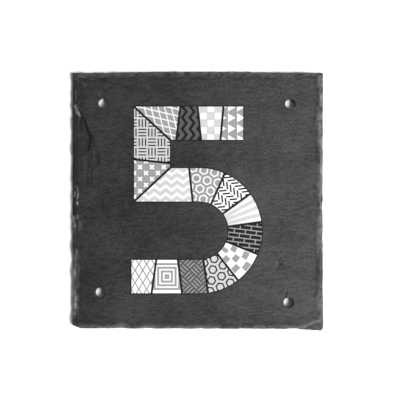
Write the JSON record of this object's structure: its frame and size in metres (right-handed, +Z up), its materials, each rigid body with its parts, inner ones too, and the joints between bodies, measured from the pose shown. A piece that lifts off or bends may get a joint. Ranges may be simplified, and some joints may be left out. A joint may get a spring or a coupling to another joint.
{
  "type": "house number plaque",
  "caption": "Square slate house number plaque with chipped edges, drilled fixing holes near its corners and a block numeral printed on its face in a patchwork of greys.",
  "frame": {"origin": "middle of the back face, where the plaque meets the wall", "axes": "+Z up and +X to the right as seen from the front, +Y into the wall; the printed face looks along -Y"},
  "size_m": [0.1502, 0.0074, 0.1557],
  "materials": {
    "slate": "matte",
    "black_ink": "matte",
    "white_ink": "matte",
    "pale_grey_ink": "matte",
    "mid_grey_ink": "matte",
    "dark_grey_ink": "matte"
  },
  "bodies": {
    "root": {"slate_plaque": "slate", "print_ground": "black_ink", "patch_white": "white_ink", "patch_pale_grey": "pale_grey_ink", "patch_mid_grey": "mid_grey_ink", "patch_dark_grey": "dark_grey_ink", "motif_white": "white_ink", "motif_grey": "mid_grey_ink", "motif_black": "black_ink"}
  },
  "joints": []
}
